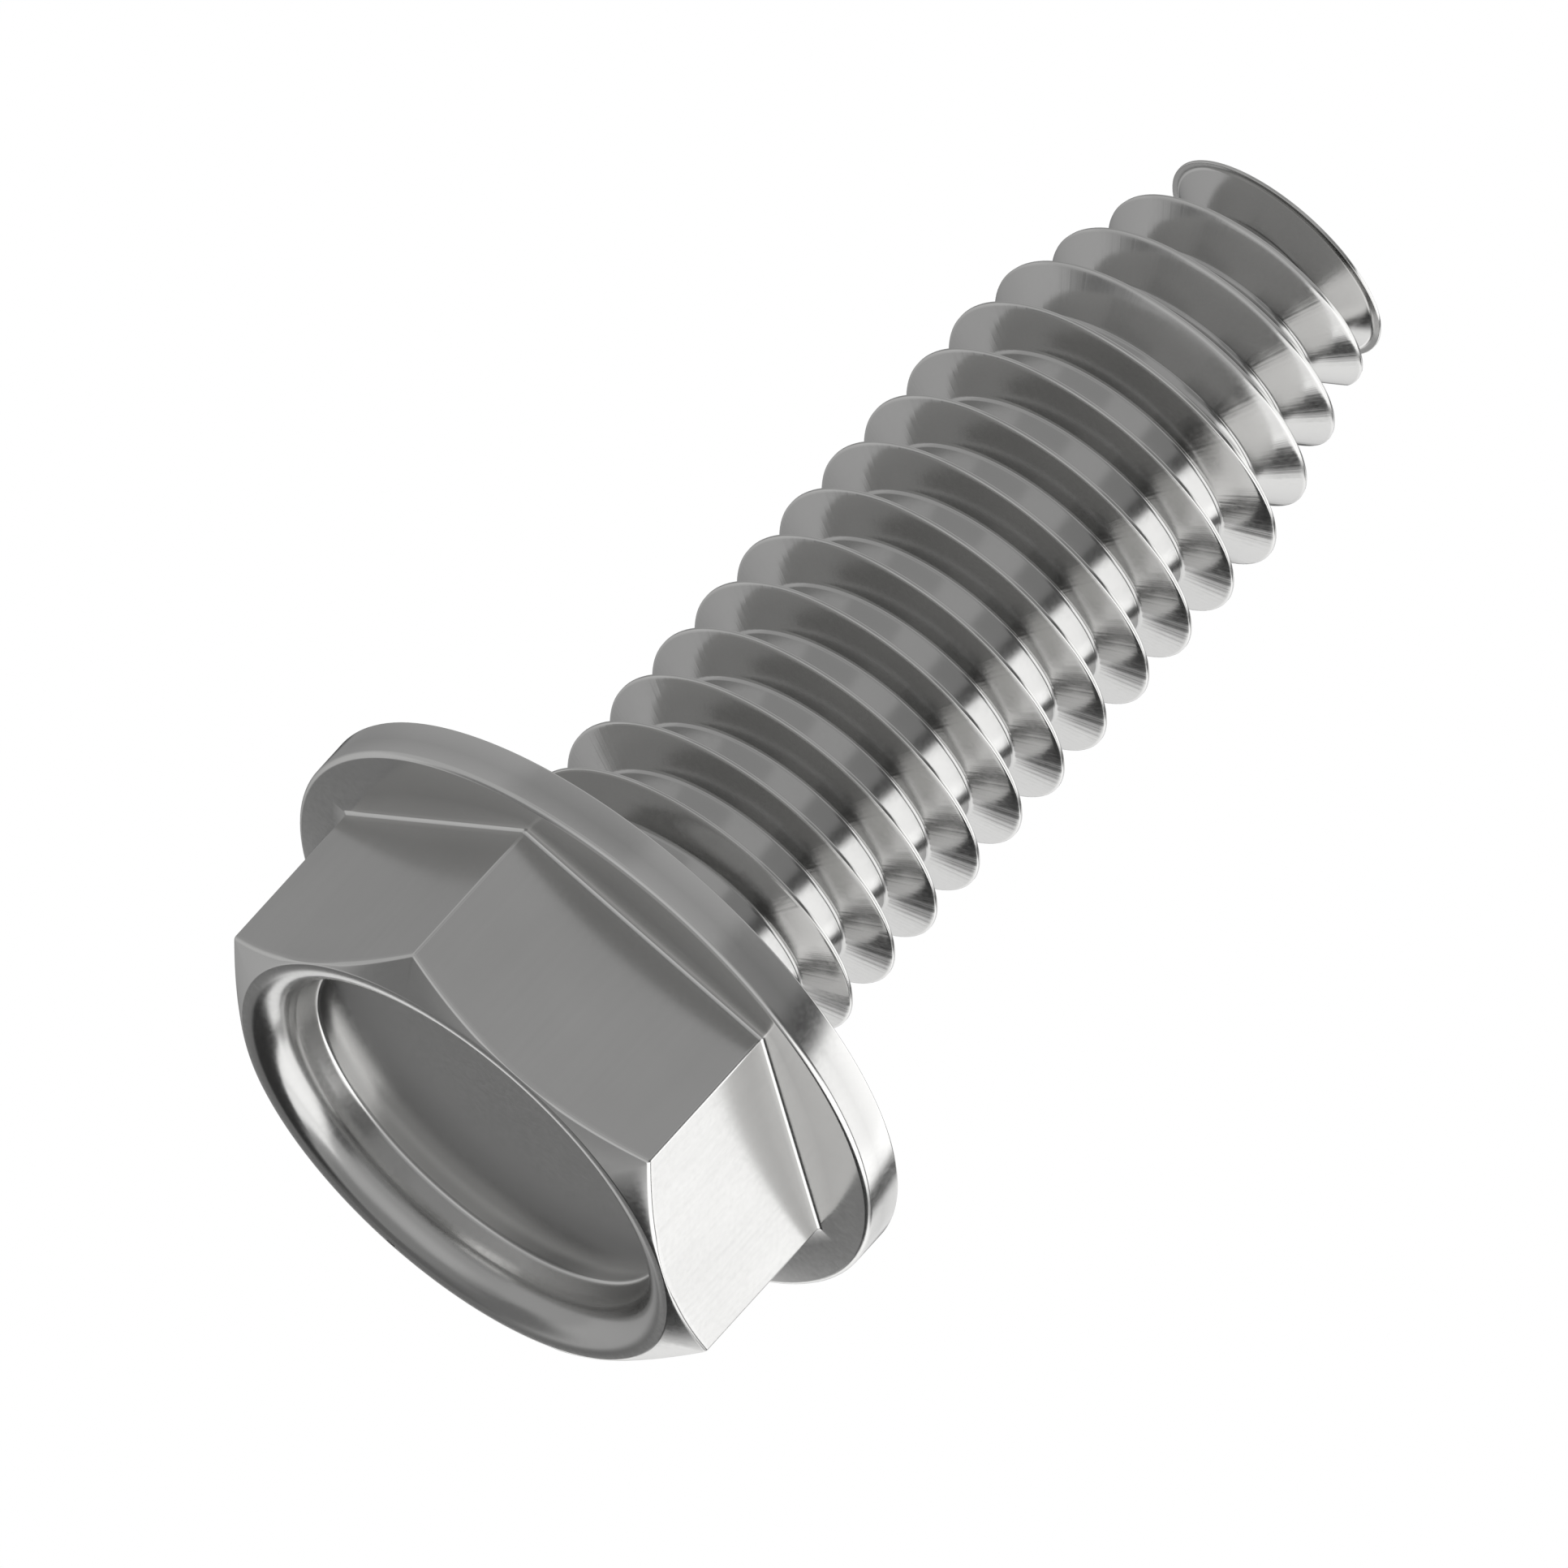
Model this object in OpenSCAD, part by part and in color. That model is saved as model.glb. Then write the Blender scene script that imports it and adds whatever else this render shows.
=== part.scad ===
// Thread-forming screw with a hexagon head and a washer flange, in millimetres.
// The bearing face of the flange is at z = 0. The head lies below it and the thread
// points up, so the screw stands on the flat rim of its head.

/* [Hexagon] */
// Width of the hexagon across its flats
hex_w = 8; // [7:0.1:9]
// Height of the head, from the bearing face to the rim
head_h = 3.74; // [3.4:0.02:4.4]
// Angle between the corner chamfer and the rim's plane
chamfer_angle = 30; // [20:1:40]
// Distance from the flats to the rim circle, where the chamfer ends
rim_inset = 0.02; // [0.01:0.01:0.2]
// Leg of the fillet where the hexagon meets the flange
hex_fillet = 0.06; // [0.02:0.01:0.2]

/* [Flange] */
// Diameter of the washer flange
flange_d = 10.7; // [10.4:0.1:12.5]
// Thickness of the washer flange
flange_t = 0.7; // [0.4:0.02:1.1]
// Radius of the rounded edge on the head side of the flange
flange_round = 0.09; // [0.03:0.01:0.2]

/* [Head recess] */
// Width of the flat ring between the chamfer and the rounded lip
rim_land = 0.08; // [0.04:0.01:0.2]
// Radius of the rounded lip that leads into the recess
lip_r = 0.53; // [0.3:0.01:0.7]
// Depth of the recess below the rim
recess_depth = 0.89; // [0.8:0.01:1.1]
// How far the recess wall runs inward from the lip to the floor
wall_run = 0.11; // [0.02:0.01:0.3]

/* [Shank and thread] */
// Length of the screw under the head
shank_l = 15.7; // [10:0.1:30]
// Diameter over the thread's crests
thread_d = 5.7; // [5.3:0.05:6.2]
// Distance between neighbouring crests
pitch = 1; // [0.9:0.05:1.4]
// Radial height of the thread
thread_h = 0.73; // [0.4:0.01:0.9]
// Width of the flat crest
crest_w = 0.06; // [0.03:0.01:0.15]
// Length along the axis that each flank takes up
flank_run = 0.25; // [0.15:0.01:0.3]
// Turn of the thread about the axis
thread_turn = 316; // [0:1:359]

/* [Neck under the flange] */
// Height of the cone that blends the shank into the bearing face
neck_h = 0.4; // [0.3:0.05:0.9]
// Clearance of the cone's wide end outside the crests
neck_gap = 0.03; // [0.02:0.01:0.2]
// Clearance between the cone and the foot of the first ridge
start_gap = 0.03; // [0.02:0.01:0.3]
// Length over which the ridge rises from the shank to its full height
run_out = 0.4; // [0.3:0.05:1.2]

/* [Tapered point] */
// Length of the tapered point
point_l = 3.45; // [2:0.05:5]
// Diameter of the point's flat end
point_d = 3.88; // [3.2:0.02:4.6]
// Length along the axis that the head-side flank takes up on the point
point_flank_run = 0.5; // [0.3:0.01:0.55]
// Distance from the flat end at which the ridge has sunk back into the shank
end_gap = 0.25; // [0.1:0.01:0.5]
// Length over which the ridge sinks into the shank before the flat end
end_run_out = 0.35; // [0.3:0.05:1]
// Thickness of the thin rim round the flat end
end_rim = 0.05; // [0.03:0.01:0.15]
// Width of that rim outside the cone behind it
end_rim_w = 0.12; // [0.04:0.01:0.2]
// Height of the cone behind the end rim
end_cone_h = 0.4; // [0.2:0.01:0.6]

/* [Fineness] */
// Number of sides round the threaded shank
thread_sides = 48; // [24:4:60]
// Number of sides round the head
$fn = 96; // [32:8:160]

/* [Hidden] */

// Small overlap that joins neighbouring solids without a seam
overlap = 0.1;

hex_corners = hex_w / cos(30);
rim_r = hex_w / 2 - rim_inset;

// The rounded lip: a quarter circle from the flat rim into the recess
lip_centre_r = rim_r - rim_land;
lip_z = -head_h + lip_r;
floor_r = lip_centre_r - lip_r - wall_run;
floor_z = -head_h + recess_depth;

crest_r = thread_d / 2;
root_r = crest_r - thread_h;
point_r = point_d / 2;
taper_z = shank_l - point_l;

// The crests end this far inside the rim of the flat end
end_inset = 0.02;
taper = (crest_r - point_r + end_inset) / point_l;

// Height at which the crest leaves the shank: its head-side foot is clear of the neck
thread_start = neck_h + start_gap + flank_run + crest_w;
thread_end = shank_l - end_gap;

// Ends of the threaded solid, hidden in the flange and in the end rim
thread_bottom = -flange_t / 2;
thread_top = shank_l - end_rim / 2;
first_turn = floor(thread_bottom / pitch) - 2;
last_turn = ceil(thread_top / pitch) + 2;
points_per_turn = 4;
rows = points_per_turn * (last_turn - first_turn + 1);

// Radius of the shank between the ridges at height z
function root_at(z) = root_r - taper * max(0, z - taper_z);

// Radius of the crest at height z: it rises from the shank where the thread starts, and
// sinks back into it before the flat end
function crest_at(z) =
    let (rise = (z - thread_start) / run_out)
    let (fall = (thread_end - z) / end_run_out)
    root_at(z) + thread_h * max(0, min(1, rise, fall));

// Axial length of the head-side flank of a crest at height z: it grows over one pitch
// where the point begins
function head_flank(z) =
    let (share = min(1, max(0, (z - taper_z) / pitch + 0.5)))
    flank_run + share * (point_flank_run - flank_run);

// The four corners [z, radius] of the ridge whose crest ends at height z
function ridge(z) =
    let (crest_start = z - crest_w)
    let (foot_start = crest_start - head_flank(z))
    let (foot_end = z + flank_run)
    [
        [foot_start, root_at(foot_start)],
        [crest_start, crest_at(crest_start)],
        [z, crest_at(z)],
        [foot_end, root_at(foot_end)]
    ];

// Outline of the thread in the half plane of one side of the shank
function outline(side) =
    [for (turn = [first_turn:last_turn]) each ridge(pitch * (turn + side / thread_sides))];

// A corner past either end of the threaded solid moves to that end of the outline
function held(corner, line) =
    let (z = min(thread_top, max(thread_bottom, corner[0])))
    z == corner[0] ? corner : [z, lookup(z, line)];

// A corner of the outline as a point in space
function placed(corner, side) =
    let (angle = thread_turn + 360 * side / thread_sides)
    [corner[1] * cos(angle), corner[1] * sin(angle), corner[0]];

// Index of a point. One full turn on, each corner is the next ridge's corner on side 0.
function at(side, row) =
    side < thread_sides ? side * rows + row : min(row + points_per_turn, rows - 1);

module hexagon() {
    chamfer_r = hex_corners / 2 + overlap;
    chamfer_z = -head_h + (chamfer_r - rim_r) * tan(chamfer_angle);
    intersection() {
        translate([0, 0, -head_h]) cylinder(d = hex_corners, h = head_h - overlap, $fn = 6);
        rotate_extrude() difference() {
            polygon([[0, 0], [chamfer_r, 0], [chamfer_r, chamfer_z], [rim_r, -head_h], [0, -head_h]]);
            recess_outline();
        }
    }
    // A narrow slope stands for the fillet at the flange. Its inner half lies in the flange.
    slope_h = 2 * hex_fillet;
    slope_r = hex_corners / 2;
    translate([0, 0, -flange_t - hex_fillet])
        cylinder(r1 = slope_r, r2 = slope_r + slope_h, h = slope_h, $fn = 6);
}

module recess_outline() {
    polygon([[0, floor_z], [floor_r, floor_z], [lip_centre_r - lip_r, lip_z], [0, lip_z]]);
    difference() {
        translate([0, -head_h - overlap]) square([lip_centre_r, lip_r + overlap]);
        translate([lip_centre_r, lip_z]) circle(lip_r);
    }
}

module flange_and_neck() {
    flange_r = flange_d / 2;
    neck_r = crest_r + neck_gap;
    slope = (neck_r - root_r) / neck_h;
    rotate_extrude() {
        translate([0, flange_round - flange_t]) square([flange_r, flange_t - flange_round]);
        translate([0, -flange_t]) square([flange_r - flange_round, flange_t / 2]);
        translate([flange_r - flange_round, flange_round - flange_t]) circle(flange_round);
        polygon([
            [0, -flange_t / 2],
            [neck_r, -flange_t / 2],
            [neck_r, 0],
            [root_r - slope * overlap, neck_h + overlap],
            [0, neck_h + overlap]
        ]);
    }
}

// One ridge winds up the shank as a right-hand helix
module thread() {
    foot = thread_sides * rows;
    points = [
        for (side = [0:thread_sides - 1])
            let (line = outline(side))
            for (corner = line) placed(held(corner, line), side)
    ];
    walls = [
        for (side = [0:thread_sides - 1], row = [0:rows - 2])
            each [
                [at(side, row), at(side, row + 1), at(side + 1, row + 1)],
                [at(side, row), at(side + 1, row + 1), at(side + 1, row)]
            ]
    ];
    ends = [
        for (side = [0:thread_sides - 1])
            each [
                [foot, at(side, 0), at(side + 1, 0)],
                [foot + 1, at(side + 1, rows - 1), at(side, rows - 1)]
            ]
    ];
    polyhedron(
        points = concat(points, [[0, 0, thread_bottom], [0, 0, thread_top]]),
        faces = concat(walls, ends)
    );
}

// The flat end: a cone that grows out of the shank into a thin rim
module flat_end() {
    rim_z = shank_l - end_rim;
    cone_z = rim_z - end_cone_h;
    cone_top_r = point_r - end_rim_w;
    slope = (cone_top_r - root_at(cone_z)) / end_cone_h;
    rotate_extrude() polygon([
        [0, cone_z - overlap],
        [root_at(cone_z) - slope * overlap, cone_z - overlap],
        [cone_top_r, rim_z],
        [point_r, rim_z],
        [point_r, shank_l],
        [0, shank_l]
    ]);
}

module screw() {
    color("silver") {
        hexagon();
        flange_and_neck();
        thread();
        flat_end();
    }
}

screw();
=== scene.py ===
"""Dressed model of the thread-forming screw: one closed mesh with the rounded edges,
fillets and helical thread of the real piece, in bright plated steel."""
import math

import bmesh
import bpy
import numpy as np
from mathutils import Matrix, Vector


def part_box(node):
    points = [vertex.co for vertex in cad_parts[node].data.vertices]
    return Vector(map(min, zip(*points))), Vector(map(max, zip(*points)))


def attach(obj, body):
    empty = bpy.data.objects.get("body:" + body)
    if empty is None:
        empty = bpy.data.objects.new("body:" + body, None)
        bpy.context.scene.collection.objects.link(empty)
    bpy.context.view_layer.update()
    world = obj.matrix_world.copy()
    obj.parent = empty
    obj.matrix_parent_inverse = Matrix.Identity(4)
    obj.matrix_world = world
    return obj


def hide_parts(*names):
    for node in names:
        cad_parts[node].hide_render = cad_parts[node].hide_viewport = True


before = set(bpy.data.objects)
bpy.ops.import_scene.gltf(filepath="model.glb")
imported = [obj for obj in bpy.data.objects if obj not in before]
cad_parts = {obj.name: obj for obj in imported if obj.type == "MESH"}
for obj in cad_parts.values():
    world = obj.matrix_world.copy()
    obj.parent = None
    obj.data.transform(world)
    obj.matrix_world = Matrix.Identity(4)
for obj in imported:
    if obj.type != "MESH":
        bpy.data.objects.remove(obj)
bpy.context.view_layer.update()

# All sizes are in millimetres. This is one of them in Blender's unit, the metre.
MM = 0.001

# Overall sizes, from the frame
low, high = (np.array(corner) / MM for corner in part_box("screw"))
FLANGE_R = min(*high[:2], *-low[:2])
HEAD_H = -low[2]
SHANK_L = high[2]

# Hexagon. The chamfer's cone meets the flat rim just inside the flats.
HEX_W = 8.0
HEX_SECTOR = math.radians(60)
HALF_SECTOR = HEX_SECTOR / 2
CHAMFER_ANGLE = math.radians(30)
RIM_INSET = 0.02
RIM_R = HEX_W / 2 - RIM_INSET

# Recess: a quarter round from the flat rim down to a steep wall, and a flat floor
RIM_LAND = 0.08
LIP_R = 0.53
RECESS_DEPTH = 0.89
WALL_RUN = 0.11
LIP_CENTRE_R = RIM_R - RIM_LAND
LIP_Z = -HEAD_H + LIP_R
WALL_R = LIP_CENTRE_R - LIP_R
FLOOR_R = WALL_R - WALL_RUN
FLOOR_Z = -HEAD_H + RECESS_DEPTH

FLANGE_T = 0.70

# Roundings of the head
HEX_EDGE_ROUND = 0.07
CHAMFER_EDGE_ROUND = 0.05
HEX_FILLET = 0.07
FLANGE_ROUND = 0.09
BEARING_EDGE_ROUND = 0.03
FLOOR_FILLET = 0.05
RIM_EDGE_ROUND = 0.02
# Most of the chamfer's width that the rounding along either side of it takes up
CHAMFER_SHARE = 0.45
# Middle point of the rim's rounded edge, seen from its corner, as shares of the rounding
RIM_EDGE_MIDDLE = (-0.25, 0.05)

# Shank and thread. NECK_GAP is how far the neck's wide end lies outside the crests, and the
# other gaps keep the ridge's two ends clear of the neck and of the flat end.
CREST_R = 2.85
THREAD_H = 0.73
ROOT_R = CREST_R - THREAD_H
PITCH = 1.0
CREST_W = 0.06
FLANK_RUN = 0.25
THREAD_TURN = math.radians(316)
NECK_H = 0.4
NECK_GAP = 0.03
NECK_R = CREST_R + NECK_GAP
START_GAP = 0.03
RUN_OUT = 0.4
THREAD_START = NECK_H + START_GAP + FLANK_RUN + CREST_W
END_GAP = 0.25
END_RUN_OUT = 0.35
THREAD_END = SHANK_L - END_GAP

# Tapered point, with the thin rim round its flat end and the cone behind the rim
POINT_L = 3.45
POINT_R = 1.94
POINT_FLANK_RUN = 0.5
END_RIM = 0.05
END_RIM_W = 0.12
END_CONE_H = 0.4
END_INSET = 0.02
TAPER_Z = SHANK_L - POINT_L
TAPER = (CREST_R - POINT_R + END_INSET) / POINT_L

# How far the solids reach into each other where they are fused
OVERLAP = 0.1

# Roundings of the thread and the end: how far from a corner each starts. The crest's corner
# on the head's side starts sooner, by CREST_SLOPE, so the flank bends over into the crest.
CREST_ROUND = 0.014
CREST_SLOPE = 0.08
ROOT_ROUND = 0.06
END_ROUND = 0.012
END_FILLET = 3 * END_ROUND
RIDGE_ROUNDS = (ROOT_ROUND, (CREST_SLOPE, CREST_ROUND), CREST_ROUND, ROOT_ROUND)

# Fineness
HEAD_SIDES_PER_FLAT = 36
THREAD_SIDES = 144
ROUND_STEPS = 4
LIP_STEPS = 24
HEX_FILLET_STEPS = 5
FLANGE_STEPS = 6
# Turns of the thread's outline past either end of it, where it is cut off
SPARE_TURNS = 3
WELD_DISTANCE = 0.00001

# Rings and columns of points that keep flat faces flat up to their rounded edges
FLOOR_RINGS = (0.3, 0.6, 0.85, 0.95)    # shares of the recess floor's radius
FLOOR_EDGE_RING = 1.4                   # distance from the floor's corner, in its fillets
WALL_RINGS = (0.2, 0.6)                 # shares of the recess wall, from the floor
FLAT_RING = 2                           # distance from a flat's corner, in its roundings
FACE_RING = 0.4                         # share of the flange's face, from the hexagon
END_RING = 0.02                         # distance from the end rim's corner
# Angles from a corner of the hexagon, in halves of its rounding
CORNER_COLUMNS = np.array([0, 0.35, 0.7, 1.0, 1.5, 3])

# Convex edges get a brighter base colour, as polish and as a painted highlight, from the first of
# these angles between their faces on, and fully from the second. Hollow corners on the head,
# and within END_ZONE of the flat end, get the same painted highlight.
EDGE_ANGLES = (math.radians(5), math.radians(11))
END_ZONE = 3 * END_RIM
# Edges sharper than this aren't shaded smooth
SHARP_ANGLE = math.radians(32)

# Zones of the steel's marks. A pair says where a zone starts and where it is full: a height,
# a distance from the axis, or a lean, the share of the surface's normal along the axis.
FLATS_Z = (-0.6, -0.8)
FLATS_R = (3.6, 3.8)
FLATS_LEAN = (0.3, 0.1)
RECESS_Z = (-2.6, -2.8)
RECESS_R = (3.6, 3.4)
WALL_ZONE_R = (3.2, 3.27)
THREAD_FOOT_Z = (0.4, 1.0)
THREAD_TIP_Z = (15.5, 15.0)
FLANK_LEAN = (0.5, 0.85)

# Finish of the steel. Noise counts from the first of NOISE_SPAN to the second.
CLOUD_SCALE = 450.0
GRAIN_SCALE = 12000.0
DRAWN_SCALE = 9000.0
DRAWN_STRETCH = 0.03
FORMING_SCALE = 22.0
NOISE_DETAIL = 3.0
NOISE_SPAN = (0.3, 0.7)
TONES = (0.58, 0.62)
# Base colour of marked edges and hollow corners: polish on convex edges, and a painted highlight
# line
EDGE_HIGHLIGHT_TONE = 0.8
DRAWN_TONE = -0.03
GREEN_SHARE = 0.996
BLUE_SHARE = 0.983
GRAZING_TINT = (0.7, 0.7, 0.7, 1)
ROUGHNESSES = (0.15, 0.2)
DRAWN_ROUGHNESS = 0.04
WALL_ROUGHNESS = 0.05
FORMING_DEPTH = 0.004
DRAWN_DEPTH = 0.0003
GRAIN_DEPTH = 0.0001

# The photograph's view: the millimetres in one of its pixels, the camera's place round the
# screw, the axis's angle in the picture, and how far the picture's centre lies from the
# centre of the bearing face, along the axis and across it
PHOTO_PX = 1932
PX_SIZE = 0.0119
CAMERA_AZIMUTH = math.radians(2.7)
CAMERA_ELEVATION = math.radians(-22.6)
AXIS_ANGLE = math.radians(47.72)
CENTRE_PX = (327.7, -12.9)
CAMERA_DISTANCE = 100
CLIP_START = 1

FLOOR_SIZE = 600
FLOOR_COLOUR = (0.85, 0.85, 0.85, 1)

# The studio's cards and lamps as the metal sees them: azimuth from the right of the camera's
# view, anticlockwise, and elevation, both from and to in degrees, then brightness and the
# softness of the card's edges in degrees. A later card covers the ones before it.
STUDIO = [
    ((-200, 200), (-100, -68), 0.3, 5),
    ((-145, -30), (-72, -38), 0.55, 12),
    ((98, 190), (-70, -44), 0.2, 7),
    ((-200, -160), (-70, -48), 0.3, 8),
    ((-150, -80), (-14, -3), 0.32, 3),
    ((-80, -30), (-14, -3), 0.22, 3),
    ((-160, -112), (14, 32), 0.34, 3),
    ((-74, -44), (-14, 34), 0.27, 3),
    ((-50, -24), (-26, 12), 0.1, 4),
    ((-44, -28), (10, 34), 0.09, 3),
    ((60, 104), (-66, -40), 0.16, 3),
    ((60, 104), (-40, -12), 0.225, 3),
    ((102, 152), (-42, 4), 0.52, 7),
    ((-28, 34), (-58, -42), 1.3, 4),
    ((-28, 34), (-42, -14), 1.45, 4),
    ((-20, 28), (-16, 3), 1.4, 3),
    ((-28, 33), (13, 60), 1.43, 3),
    ((17, 33), (13, 40), 1.7, 3),
    ((33, 47), (0, 34), 0.08, 3),
    ((32, 80), (-61, -20), 0.04, 3),
    ((45, 92), (-18, 8), 1.3, 3),
    ((73, 81), (-20, -15), 0.2, 2),
    ((47, 92), (8, 34), 1.25, 3),
    ((42, 96), (38, 75), 0.09, 3),
    ((-46, 42), (4, 12), 0.12, 3),
    ((80, 102), (12, 34), 0.03, 3),
]
STUDIO_GREY = 0.43
STUDIO_R = 300
STUDIO_SEGMENTS = 64
STUDIO_RINGS = 32


def curve(start, corner, end):
    """Points of a smooth curve that leaves start towards corner and reaches end from it."""
    return [
        (1 - t) ** 2 * start + 2 * t * (1 - t) * corner + t ** 2 * end
        for t in np.linspace(0, 1, ROUND_STEPS + 1)
    ]


def bend(before, corner, after, reach):
    """Points of a smooth bend round a corner. It starts and ends at a distance of reach, or at
    the two distances in reach."""
    before, corner, after = (np.asarray(point, float) for point in (before, corner, after))
    reach_in, reach_out = np.broadcast_to(reach, 2)
    start = corner + reach_in * (before - corner) / np.linalg.norm(before - corner)
    end = corner + reach_out * (after - corner) / np.linalg.norm(after - corner)
    return curve(start, corner, end)


def rounded(corners):
    """Outline through corners (r, z, reach), each rounded where its reach isn't zero."""
    line = []
    for i, (r, z, reach) in enumerate(corners):
        if reach == 0:
            line.append(np.array([r, z]))
        else:
            line += bend(corners[i - 1][:2], (r, z), corners[i + 1][:2], reach)
    return line


def quarter(steps):
    """Cosines and sines of the angles of a quarter turn."""
    angles = np.linspace(0, math.pi / 2, steps + 1)
    return zip(np.cos(angles), np.sin(angles))


def new_object(name, points, faces):
    """An object from points in millimetres."""
    mesh = bpy.data.meshes.new(name)
    mesh.from_pydata((np.asarray(points) * MM).tolist(), [], faces)
    mesh.validate()
    thing = bpy.data.objects.new(name, mesh)
    bpy.context.scene.collection.objects.link(thing)
    return thing


def ring_faces(rows, sides):
    """Quads between the rows of a grid whose columns close into rings."""
    return [
        (
            row * sides + side,
            row * sides + (side + 1) % sides,
            (row + 1) * sides + (side + 1) % sides,
            (row + 1) * sides + side,
        )
        for row in range(rows - 1)
        for side in range(sides)
    ]


def turned(name, rings, turn):
    """Closed solid from rings (r, z) about the axis, with a fan to a point on the axis at
    either end. turn holds the angles of the columns, and r and z may differ between them."""
    rows = [
        np.column_stack(np.broadcast_arrays(r * np.cos(turn), r * np.sin(turn), z))
        for r, z in rings
    ]
    sides = len(turn)
    points = np.vstack(rows + [[[0, 0, rings[0][1]], [0, 0, rings[-1][1]]]])
    foot = len(rows) * sides
    last = (len(rows) - 1) * sides
    faces = ring_faces(len(rows), sides)
    faces += [(foot, (side + 1) % sides, side) for side in range(sides)]
    faces += [(foot + 1, last + side, last + (side + 1) % sides) for side in range(sides)]
    return new_object(name, points, faces)


def hexagon_angles():
    """Angles of the head's columns, close together at each rounded corner of the hexagon."""
    corner_r = HEX_W / 2 / math.cos(HALF_SECTOR)
    near = CORNER_COLUMNS * math.atan(HEX_EDGE_ROUND * math.sin(HALF_SECTOR) / corner_r)
    flat = np.linspace(near[-1], HALF_SECTOR, HEAD_SIDES_PER_FLAT // 2 - len(near) + 2)[1:]
    half = np.concatenate([near, flat])
    sector = np.concatenate([half, HEX_SECTOR - half[-2:0:-1]])
    return np.concatenate([sector + HEX_SECTOR * k for k in range(6)])


def hexagon_radius(turn):
    """Distance from the axis to the hexagon with rounded corners, at angles turn."""
    off_corner = np.abs((turn + HALF_SECTOR) % HEX_SECTOR - HALF_SECTOR)
    flat_r = HEX_W / 2 / np.cos(HALF_SECTOR - off_corner)
    centre = (HEX_W / 2 - HEX_EDGE_ROUND) / math.cos(HALF_SECTOR)
    across = centre * np.sin(off_corner)
    beyond = np.sqrt(np.maximum(HEX_EDGE_ROUND ** 2 - across ** 2, 0))
    round_r = centre * np.cos(off_corner) + beyond
    round_end = math.atan2(HEX_EDGE_ROUND * math.sin(HALF_SECTOR),
                           centre + HEX_EDGE_ROUND * math.cos(HALF_SECTOR))
    return np.where(off_corner <= round_end, round_r, flat_r)


def recess_rings():
    """Floor, fillet, wall, lip and flat rim, from the axis outwards."""
    rings = [(share * FLOOR_R, FLOOR_Z) for share in FLOOR_RINGS]
    rings.append((FLOOR_R - FLOOR_EDGE_RING * FLOOR_FILLET, FLOOR_Z))
    rings += bend((0, FLOOR_Z), (FLOOR_R, FLOOR_Z), (WALL_R, LIP_Z), FLOOR_FILLET)
    rings += [
        (FLOOR_R + share * WALL_RUN, FLOOR_Z + share * (LIP_Z - FLOOR_Z))
        for share in WALL_RINGS
    ]
    rings += [(LIP_CENTRE_R - LIP_R * cos, LIP_Z - LIP_R * sin) for cos, sin in quarter(LIP_STEPS)]
    rings.append((RIM_R - RIM_EDGE_ROUND, -HEAD_H))
    return rings


def chamfer_rings(hex_r):
    """Rounded edge of the rim, the cone that the hexagon cuts, and its rounded edge."""
    run = hex_r - RIM_R
    edge_z = -HEAD_H + run * math.tan(CHAMFER_ANGLE)
    outwards = np.array([[math.cos(CHAMFER_ANGLE)], [math.sin(CHAMFER_ANGLE)]])
    most = CHAMFER_SHARE * run / math.cos(CHAMFER_ANGLE)
    rim = np.array([[RIM_R], [-HEAD_H]])
    edge = np.array([hex_r, edge_z])
    reach = np.minimum(CHAMFER_EDGE_ROUND, most)
    middle_r, middle_z = RIM_EDGE_MIDDLE
    return [
        (RIM_R + middle_r * RIM_EDGE_ROUND, -HEAD_H + middle_z * RIM_EDGE_ROUND),
        rim + np.minimum(RIM_EDGE_ROUND, most) * outwards,
        *curve(edge - reach * outwards, edge, edge + [0 * reach, reach]),
        (hex_r, edge_z + FLAT_RING * CHAMFER_EDGE_ROUND),
    ]


def flange_rings(hex_r):
    """Fillet round the foot of the hexagon, and the flange's face and rounded edge."""
    foot_r = hex_r + HEX_FILLET
    edge_r = FLANGE_R - FLANGE_ROUND
    rings = [(hex_r, -FLANGE_T - FLAT_RING * HEX_FILLET)]
    rings += [
        (foot_r - HEX_FILLET * cos, -FLANGE_T - HEX_FILLET * (1 - sin))
        for cos, sin in quarter(HEX_FILLET_STEPS)
    ]
    rings.append((foot_r + FACE_RING * (edge_r - foot_r), -FLANGE_T))
    rings += [
        (edge_r + FLANGE_ROUND * sin, -FLANGE_T + FLANGE_ROUND * (1 - cos))
        for cos, sin in quarter(FLANGE_STEPS)
    ]
    return rings


def neck_rings():
    """Side of the flange, bearing face and the cone into the shank."""
    slope = (NECK_R - ROOT_R) / NECK_H
    return rounded([
        (FLANGE_R, -FLANGE_T / 2, 0),
        (FLANGE_R, 0, BEARING_EDGE_ROUND),
        (NECK_R, 0, ROOT_ROUND),
        (ROOT_R - slope * OVERLAP, NECK_H + OVERLAP, 0),
    ])


def make_head():
    """Hexagon with its recess, washer flange and the cone under it."""
    turn = hexagon_angles()
    hex_r = hexagon_radius(turn)
    rings = recess_rings() + chamfer_rings(hex_r) + flange_rings(hex_r) + neck_rings()
    return turned("head", rings, turn)


def root_at(z):
    """Radius of the shank between the ridges, which shrinks along the tapered point."""
    return ROOT_R - TAPER * np.maximum(0, z - TAPER_Z)


def crest_at(z):
    """Radius of the crest, which rises out of the shank at one end and sinks at the other."""
    share = np.minimum((z - THREAD_START) / RUN_OUT, (THREAD_END - z) / END_RUN_OUT)
    return root_at(z) + THREAD_H * np.clip(share, 0, 1)


def head_flank(z):
    """Run of the flank on the head's side, which grows in one turn where the point starts."""
    share = np.clip((z - TAPER_Z) / PITCH + 0.5, 0, 1)
    return FLANK_RUN + share * (POINT_FLANK_RUN - FLANK_RUN)


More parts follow.
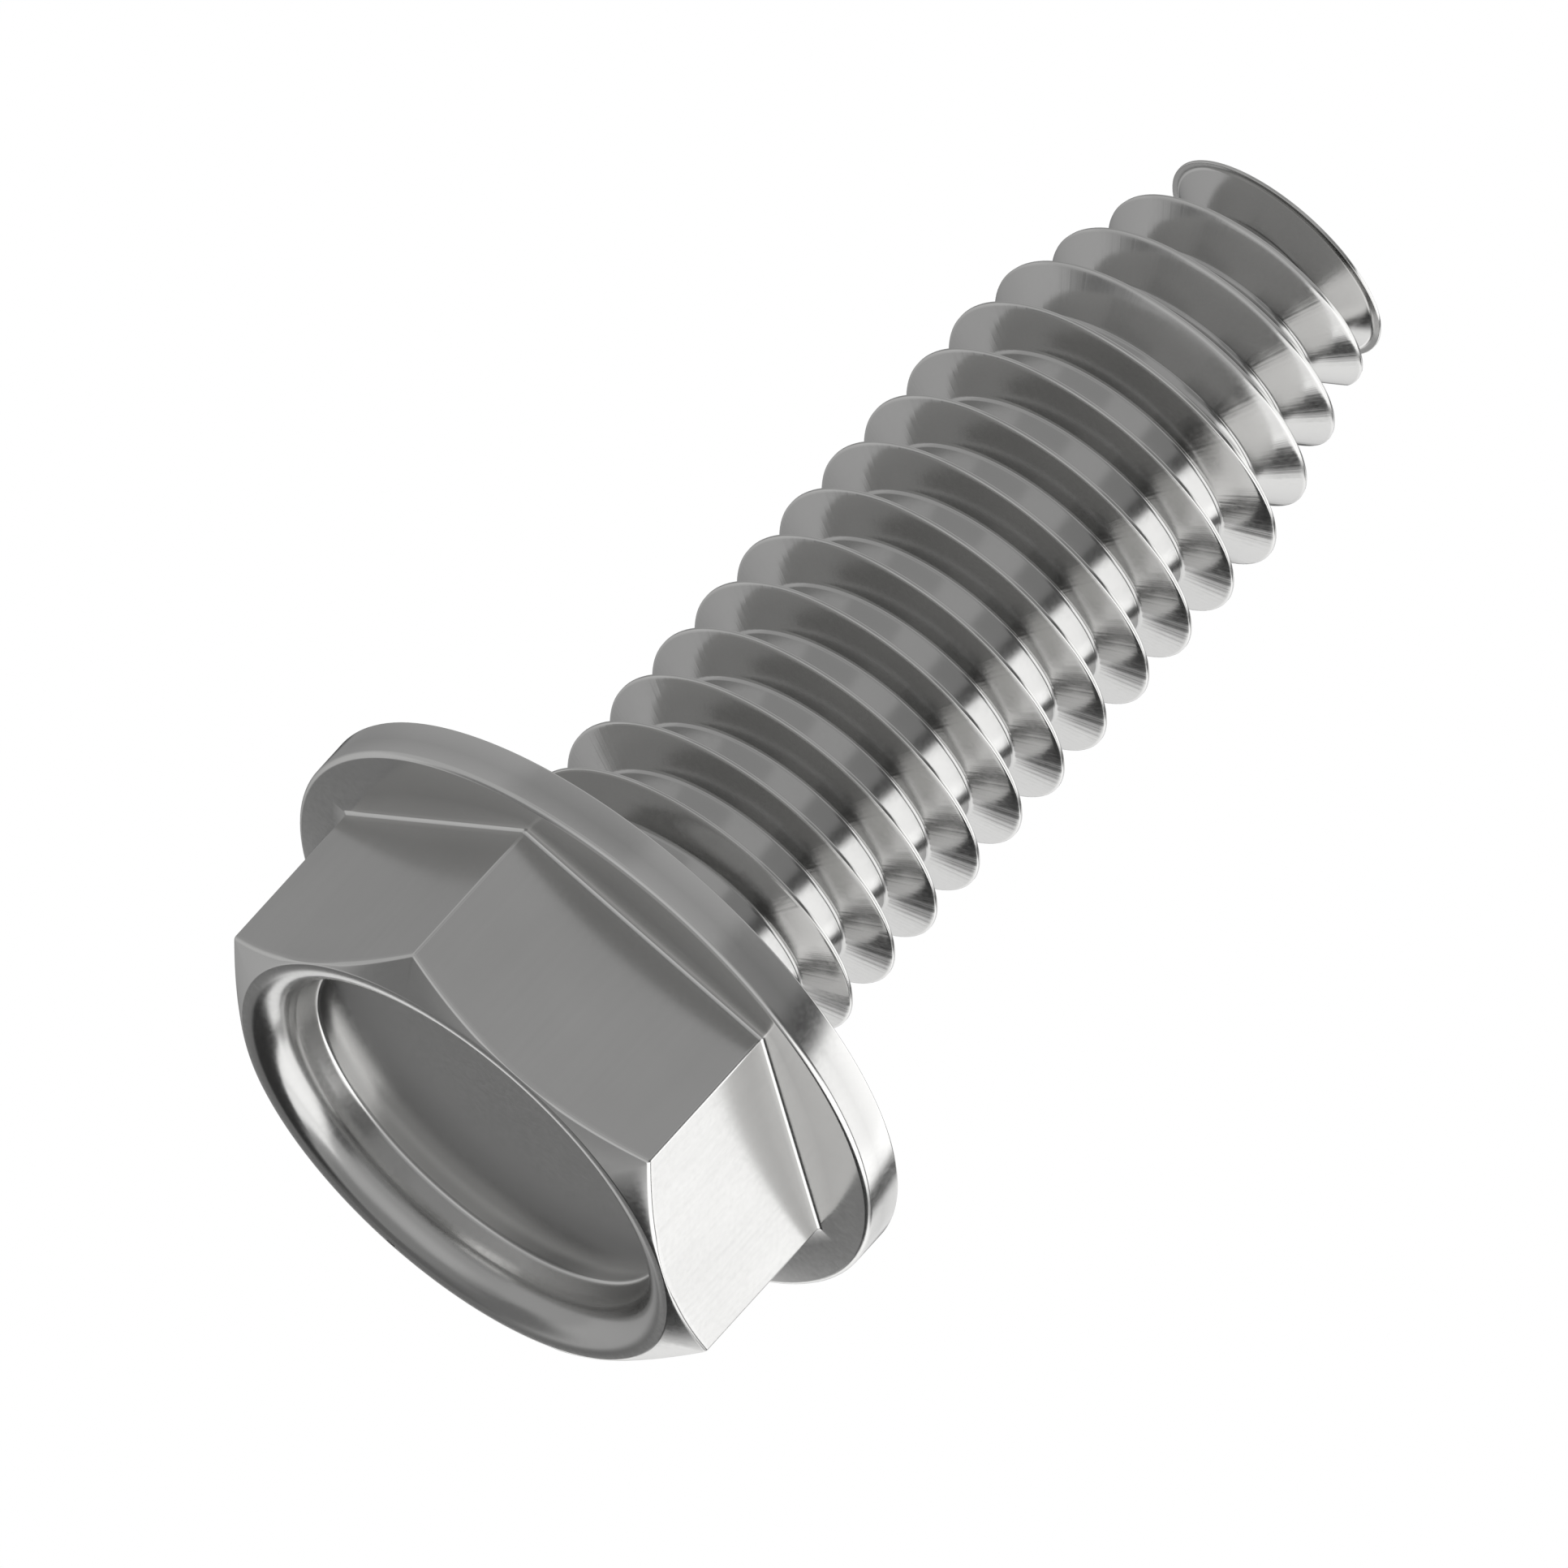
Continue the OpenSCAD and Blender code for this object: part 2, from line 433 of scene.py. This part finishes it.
def thread_outline(crest_z):
    """Rounded outline of all the ridges in one half plane. crest_z holds the height at which
    each crest ends."""
    crest_start = crest_z - CREST_W
    foot_start = crest_start - head_flank(crest_z)
    foot_end = crest_z + FLANK_RUN
    z = np.column_stack([foot_start, crest_start, crest_z, foot_end]).ravel()
    r = np.column_stack([
        root_at(foot_start), crest_at(crest_start), crest_at(crest_z), root_at(foot_end)
    ]).ravel()
    corners = np.column_stack([z, r])
    points = []
    for i in range(1, len(corners) - 1):
        reach = RIDGE_ROUNDS[i % len(RIDGE_ROUNDS)]
        points += bend(corners[i - 1], corners[i], corners[i + 1], reach)
        points.append((corners[i] + corners[i + 1]) / 2)
    return np.array(points)


def make_thread():
    """The ridge winds up the shank as one right-hand helix. Its ends lie inside the head and
    the flat end."""
    bottom, top = -FLANGE_T / 2, SHANK_L - END_RIM / 2
    turns = np.arange(math.floor(bottom / PITCH) - SPARE_TURNS,
                      math.ceil(top / PITCH) + SPARE_TURNS + 1)
    columns = []
    for side in range(THREAD_SIDES):
        line = thread_outline(PITCH * (turns + side / THREAD_SIDES))
        z = np.clip(line[:, 0], bottom, top)
        r = np.interp(z, line[:, 0], line[:, 1])
        angle = THREAD_TURN + 2 * math.pi * side / THREAD_SIDES
        columns.append(np.column_stack([r * math.cos(angle), r * math.sin(angle), z]))
    points = np.vstack(columns + [[[0, 0, bottom], [0, 0, top]]])
    rows = len(columns[0])
    rows_per_turn = len(RIDGE_ROUNDS) * (ROUND_STEPS + 2)
    foot = THREAD_SIDES * rows

    def at(side, row):
        """A point's number. After the last side comes the first one, a turn further up."""
        if side < THREAD_SIDES:
            return side * rows + row
        return min(row + rows_per_turn, rows - 1)

    faces = []
    for side in range(THREAD_SIDES):
        beside = side + 1
        for row in range(rows - 1):
            faces.append((at(side, row), at(beside, row), at(beside, row + 1), at(side, row + 1)))
        faces.append((foot, at(beside, 0), at(side, 0)))
        faces.append((foot + 1, at(side, rows - 1), at(beside, rows - 1)))
    faces = [face for face in faces if len(set(face)) == len(face)]
    thread = new_object("thread", points, faces)
    merge(thread)
    return thread


def merge(thing):
    """Welds points that lie on each other."""
    weld = thing.modifiers.new("weld", "WELD")
    weld.merge_threshold = WELD_DISTANCE * MM
    apply_modifiers(thing)


def apply_modifiers(thing):
    """Gives the object the mesh that its modifiers make of it, and removes them."""
    graph = bpy.context.evaluated_depsgraph_get()
    mesh = bpy.data.meshes.new_from_object(thing.evaluated_get(graph))
    thing.modifiers.clear()
    thing.data = mesh


def make_flat_end():
    """A cone that grows out of the shank into a thin rim, and the flat end face."""
    rim_z = SHANK_L - END_RIM
    cone_z = rim_z - END_CONE_H
    cone_top_r = POINT_R - END_RIM_W
    cone_r = root_at(cone_z)
    slope = (cone_top_r - cone_r) / END_CONE_H
    outline = rounded([
        (cone_r - slope * OVERLAP, cone_z - OVERLAP, 0),
        (cone_top_r, rim_z, END_FILLET),
        (POINT_R - END_RIM_W / 2, rim_z, 0),
        (POINT_R - END_RING, rim_z, 0),
        (POINT_R, rim_z, END_ROUND),
        (POINT_R, SHANK_L, END_ROUND),
        (POINT_R / 2, SHANK_L, 0),
    ])
    turn = np.linspace(0, 2 * math.pi, THREAD_SIDES, endpoint=False)
    return turned("flat_end", outline, turn)


def join(body, *others):
    """Fuses the others into the body."""
    for other in others:
        union = body.modifiers.new("union", "BOOLEAN")
        union.operation = "UNION"
        union.solver = "EXACT"
        union.object = other
        apply_modifiers(body)
        bpy.data.objects.remove(other)


def mark_edge_highlights(thing):
    """Stores 1 in the attribute "edge" at the points of convex edges and of the corners that
    the dies pressed into the head and behind the end rim, and 0 on smooth faces. The steel
    paints these points brighter, as polish and as painted highlight lines."""
    shape = bmesh.new()
    shape.from_mesh(thing.data)
    least, most = EDGE_ANGLES
    marks = np.zeros(len(shape.verts))
    for edge in shape.edges:
        turn = edge.calc_face_angle_signed(0)
        for vert in edge.verts:
            # On the head and near the flat end, hollow corners get the painted highlight too
            highlight_hollows = not 0 < vert.co.z / MM < SHANK_L - END_ZONE
            bend_angle = abs(turn) if highlight_hollows else turn
            marks[vert.index] = max(marks[vert.index], (bend_angle - least) / (most - least))
    shape.free()
    layer = thing.data.attributes.new("edge", "FLOAT", "POINT")
    layer.data.foreach_set("value", np.clip(marks, 0, 1).astype(np.float32))


class Nodes:
    """The nodes of a material. A socket of a new one is filled by a link or by a value."""

    def __init__(self, material):
        material.use_nodes = True
        self.tree = material.node_tree

    def add(self, kind, sockets, **settings):
        """The outputs of a new node."""
        made = self.tree.nodes.new("ShaderNode" + kind)
        for name, value in settings.items():
            setattr(made, name, value)
        for socket, value in sockets.items():
            if isinstance(value, bpy.types.NodeSocket):
                self.tree.links.new(value, made.inputs[socket])
            else:
                made.inputs[socket].default_value = value
        return made.outputs

    def math(self, operation, *values):
        """The result of a calculation."""
        return self.add("Math", dict(enumerate(values)), operation=operation)[0]

    def product(self, first, *others):
        """All the values multiplied."""
        for other in others:
            first = self.math("MULTIPLY", first, other)
        return first

    def between(self, value, span, ends=(0, 1), **settings):
        """A value from the first of ends to the last, as value goes from the first of span
        to the last."""
        sockets = {"Value": value, "From Min": span[0], "From Max": span[1],
                   "To Min": ends[0], "To Max": ends[1]}
        return self.add("MapRange", sockets, **settings)[0]

    def zone(self, place, span):
        """1 where place is in a zone, whose start and full end are in millimetres."""
        return self.between(place, [end * MM for end in span])

    def noise(self, place, scale):
        """Soft noise of the given fineness."""
        return self.add("TexNoise", {"Vector": place, "Scale": scale, "Detail": NOISE_DETAIL})[0]

    def bump(self, height, depth, **sockets):
        """The normal of a surface with a relief of this depth."""
        return self.add("Bump", {"Height": height, "Distance": depth * MM, **sockets})[0]


def make_steel():
    """Bright plated steel: clouded plating with a fine grain, edges and hollow corners painted
    brighter as polish and as painted highlight lines, drawing marks along the head's flats and
    faint forming marks across the thread's flanks."""
    steel = bpy.data.materials.new("plated_steel")
    nodes = Nodes(steel)
    link = steel.node_tree.links.new
    shader = steel.node_tree.nodes["Principled BSDF"]
    shader.inputs["Metallic"].default_value = 1.0
    shader.inputs["Specular Tint"].default_value = GRAZING_TINT

    source = nodes.add("TexCoord", {})
    place = source["Object"]
    x, y, z = nodes.add("SeparateXYZ", {0: place})
    across = nodes.add("CombineXYZ", {0: x, 1: y})[0]
    from_axis = nodes.add("VectorMath", {0: across}, operation="LENGTH")["Value"]
    round_axis = nodes.add("VectorMath", {0: across}, operation="NORMALIZE")["Vector"]
    lean = nodes.math("ABSOLUTE", nodes.add("SeparateXYZ", {0: source["Normal"]})["Z"])
    edge = nodes.add("Attribute", {}, attribute_name="edge")["Fac"]

    on_flats = nodes.product(nodes.zone(z, FLATS_Z), nodes.between(lean, FLATS_LEAN),
                             nodes.zone(from_axis, FLATS_R))
    on_wall = nodes.product(nodes.zone(z, RECESS_Z), nodes.zone(from_axis, RECESS_R),
                            nodes.zone(from_axis, WALL_ZONE_R))
    on_flank = nodes.product(nodes.zone(z, THREAD_FOOT_Z), nodes.zone(z, THREAD_TIP_Z),
                             nodes.between(lean, FLANK_LEAN))

    # Drawing marks run along the axis. Forming marks run across the flanks, so they vary only
    # round the axis.
    clouds = nodes.noise(place, CLOUD_SCALE)
    grain = nodes.noise(place, GRAIN_SCALE)
    stretched = nodes.add("CombineXYZ", {0: x, 1: y, 2: nodes.product(z, DRAWN_STRETCH)})[0]
    drawn = nodes.product(nodes.noise(stretched, DRAWN_SCALE), on_flats)
    forming = nodes.noise(round_axis, FORMING_SCALE)

    tone = nodes.between(clouds, NOISE_SPAN, TONES)
    tone = nodes.math("MULTIPLY_ADD", drawn, DRAWN_TONE, tone)
    # Marked edges and hollow corners are painted brighter: polish on convex edges, and painted
    # highlight lines
    tone = nodes.add("Mix", {"Factor": edge, "A": tone, "B": EDGE_HIGHLIGHT_TONE})["Result"]
    green, blue = nodes.product(tone, GREEN_SHARE), nodes.product(tone, BLUE_SHARE)
    link(nodes.add("CombineColor", {0: tone, 1: green, 2: blue})[0], shader.inputs["Base Color"])

    roughness = nodes.between(grain, NOISE_SPAN, ROUGHNESSES)
    roughness = nodes.math("MULTIPLY_ADD", drawn, DRAWN_ROUGHNESS, roughness)
    roughness = nodes.math("MULTIPLY_ADD", on_wall, WALL_ROUGHNESS, roughness)
    link(roughness, shader.inputs["Roughness"])

    relief = nodes.bump(forming, FORMING_DEPTH, Strength=on_flank)
    relief = nodes.bump(drawn, DRAWN_DEPTH, Normal=relief)
    relief = nodes.bump(grain, GRAIN_DEPTH, Normal=relief)
    link(relief, shader.inputs["Normal"])
    return steel


def make_screw():
    """The whole screw as one closed mesh of steel."""
    screw = make_head()
    screw.name = "steel_screw"
    join(screw, make_thread(), make_flat_end())
    mark_edge_highlights(screw)
    screw.data.shade_smooth()
    screw.data.set_sharp_from_angle(angle=SHARP_ANGLE)
    screw.data.materials.append(make_steel())
    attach(screw, "root")
    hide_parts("screw")


def make_camera():
    """View without perspective, as in the photograph: the head faces the camera and the shank
    rises to the upper right."""
    back = Vector((
        math.sin(CAMERA_AZIMUTH) * math.cos(CAMERA_ELEVATION),
        -math.cos(CAMERA_AZIMUTH) * math.cos(CAMERA_ELEVATION),
        math.sin(CAMERA_ELEVATION),
    ))
    side = Vector((math.cos(CAMERA_AZIMUTH), math.sin(CAMERA_AZIMUTH), 0))
    along = back.cross(side)
    right = math.cos(AXIS_ANGLE) * along + math.sin(AXIS_ANGLE) * side
    up = math.sin(AXIS_ANGLE) * along - math.cos(AXIS_ANGLE) * side
    centre = (CENTRE_PX[0] * along + CENTRE_PX[1] * side) * PX_SIZE * MM
    camera = bpy.data.cameras.new("camera")
    camera.type = "ORTHO"
    camera.ortho_scale = PHOTO_PX * PX_SIZE * MM
    camera.clip_start = CLIP_START * MM
    seat = bpy.data.objects.new("camera", camera)
    bpy.context.scene.collection.objects.link(seat)
    facing = Matrix((right, up, back)).transposed().to_4x4()
    seat.matrix_world = Matrix.Translation(centre + back * (CAMERA_DISTANCE * MM)) @ facing
    bpy.context.scene.camera = seat


def empty_material(name):
    """A material without a shader, and its nodes."""
    material = bpy.data.materials.new(name)
    nodes = Nodes(material)
    nodes.tree.nodes.clear()
    return material, nodes


def make_floor():
    """Pale floor under the head. It is clear from below, because the photograph's view comes
    from there, and the metal doesn't mirror it."""
    half = FLOOR_SIZE / 2
    z = low[2]
    corners = [(-half, -half, z), (half, -half, z), (half, half, z), (-half, half, z)]
    floor = new_object("floor", corners, [(0, 1, 2, 3)])
    paint, nodes = empty_material("floor_paint")
    from_below = nodes.add("NewGeometry", {})["Backfacing"]
    pale = nodes.add("BsdfDiffuse", {"Color": FLOOR_COLOUR})[0]
    clear = nodes.add("BsdfTransparent", {})[0]
    surface = nodes.add("MixShader", {"Fac": from_below, 1: pale, 2: clear})[0]
    nodes.add("OutputMaterial", {"Surface": surface})
    floor.data.materials.append(paint)
    floor.visible_glossy = False


def make_cloth():
    """The light tent's cloth, which glows with the brightness of its cards."""
    cloth, nodes = empty_material("tent_cloth")
    cloth.cycles.emission_sampling = "NONE"

    def step(angle, start, end):
        """A smooth rise from 0 at start to 1 at end, both in degrees."""
        span = math.radians(start), math.radians(end)
        return nodes.between(angle, span, interpolation_type="SMOOTHSTEP")

    def within(angle, span, softness):
        """1 inside the span, fading to 0 over its soft ends."""
        first, last = span
        return nodes.product(step(angle, first - softness, first + softness),
                             step(angle, last + softness, last - softness))

    x, y, z = nodes.add("SeparateXYZ", {0: nodes.add("TexCoord", {})["Object"]})
    azimuth = nodes.math("ARCTAN2", y, x)
    elevation = nodes.math("ARCSINE", nodes.math("DIVIDE", z, STUDIO_R * MM))
    level = STUDIO_GREY
    for azimuths, elevations, brightness, softness in STUDIO:
        card = nodes.product(within(azimuth, azimuths, softness),
                             within(elevation, elevations, softness))
        level = nodes.add("Mix", {"Factor": card, "A": level, "B": brightness})["Result"]
    nodes.add("OutputMaterial", {"Surface": nodes.add("Emission", {"Strength": level})[0]})
    return cloth


def make_studio():
    """White surroundings, and a grey light tent with white openings that only the metal sees."""
    world = bpy.data.worlds.new("studio")
    bpy.context.scene.world = world
    world.use_nodes = True
    white = world.node_tree.nodes["Background"]
    white.inputs["Color"].default_value = (1, 1, 1, 1)
    white.inputs["Strength"].default_value = 1.0
    world.cycles.sampling_method = "NONE"

    bpy.ops.mesh.primitive_uv_sphere_add(segments=STUDIO_SEGMENTS, ring_count=STUDIO_RINGS,
                                         radius=STUDIO_R * MM)
    tent = bpy.context.object
    tent.name = "light_tent"
    tent.rotation_euler.z = CAMERA_AZIMUTH
    tent.visible_camera = False
    tent.visible_diffuse = False
    tent.visible_transmission = False
    tent.visible_shadow = False
    tent.data.materials.append(make_cloth())


make_screw()
make_camera()
make_floor()
make_studio()
bpy.context.scene.view_settings.view_transform = "Standard"
